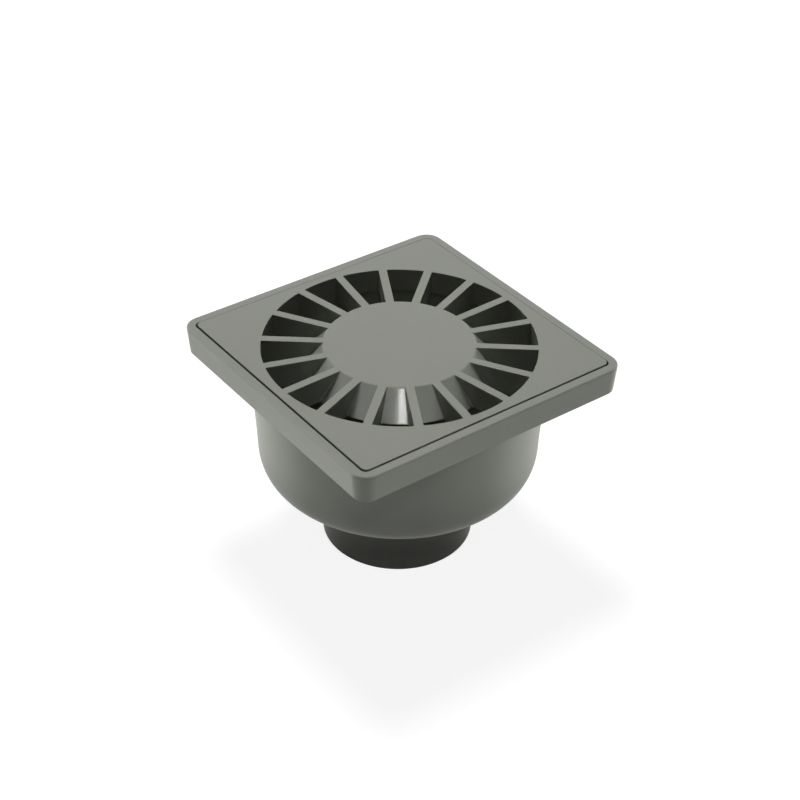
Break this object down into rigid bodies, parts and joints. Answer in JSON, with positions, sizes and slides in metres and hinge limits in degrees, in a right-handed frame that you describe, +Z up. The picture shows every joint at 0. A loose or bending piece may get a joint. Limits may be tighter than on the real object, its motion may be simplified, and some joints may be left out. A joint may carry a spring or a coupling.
{
  "type": "floor drain",
  "caption": "Square plastic floor drain with a loose radially slotted grate, a round bowl, a bell water seal and a vertical outlet spigot.",
  "frame": {"origin": "centre of the outlet spigot's lower rim", "axes": "+Z up along the drain's axis, out of the grate; X and Y square to the frame's sides"},
  "size_m": [0.15, 0.15, 0.1084],
  "materials": {
    "body_plastic": "satin moulded grey plastic",
    "grate_plastic": "satin moulded grey plastic, glossier on the sloping skirt",
    "bell_plastic": "satin moulded grey plastic"
  },
  "bodies": {
    "root": {"body": "body_plastic", "grate": "grate_plastic", "trap_bell": "bell_plastic"}
  },
  "joints": []
}
